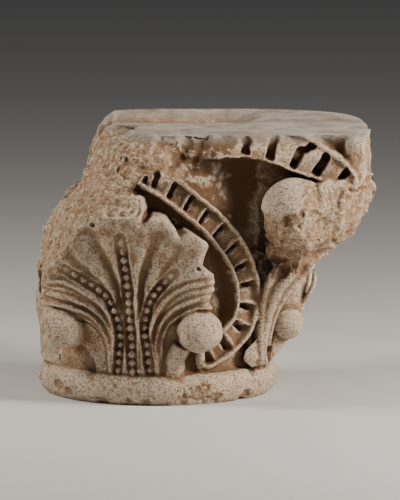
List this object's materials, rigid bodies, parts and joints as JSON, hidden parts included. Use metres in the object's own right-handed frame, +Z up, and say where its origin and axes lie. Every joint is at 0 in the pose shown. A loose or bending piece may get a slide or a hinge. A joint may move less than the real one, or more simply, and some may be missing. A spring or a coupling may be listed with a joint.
{
  "type": "romanesque capital",
  "caption": "Broken limestone capital with a round necking ring, a palmette with beaded stems and balls, and pierced ladder bands under a flat top; stands on its underside.",
  "frame": {"origin": "on the underside, on the axis of the necking ring and so of the column below", "axes": "+Z up along the column's axis; -Y towards the corner with the palmette; +X towards the corner that kept its broken volute; +Y towards the plain back"},
  "size_m": [0.39, 0.336, 0.3001],
  "materials": {
    "limestone": "weathered matt limestone with rough breaks and brown dirt in the hollows"
  },
  "bodies": {
    "root": {"capital": "limestone"}
  },
  "joints": []
}
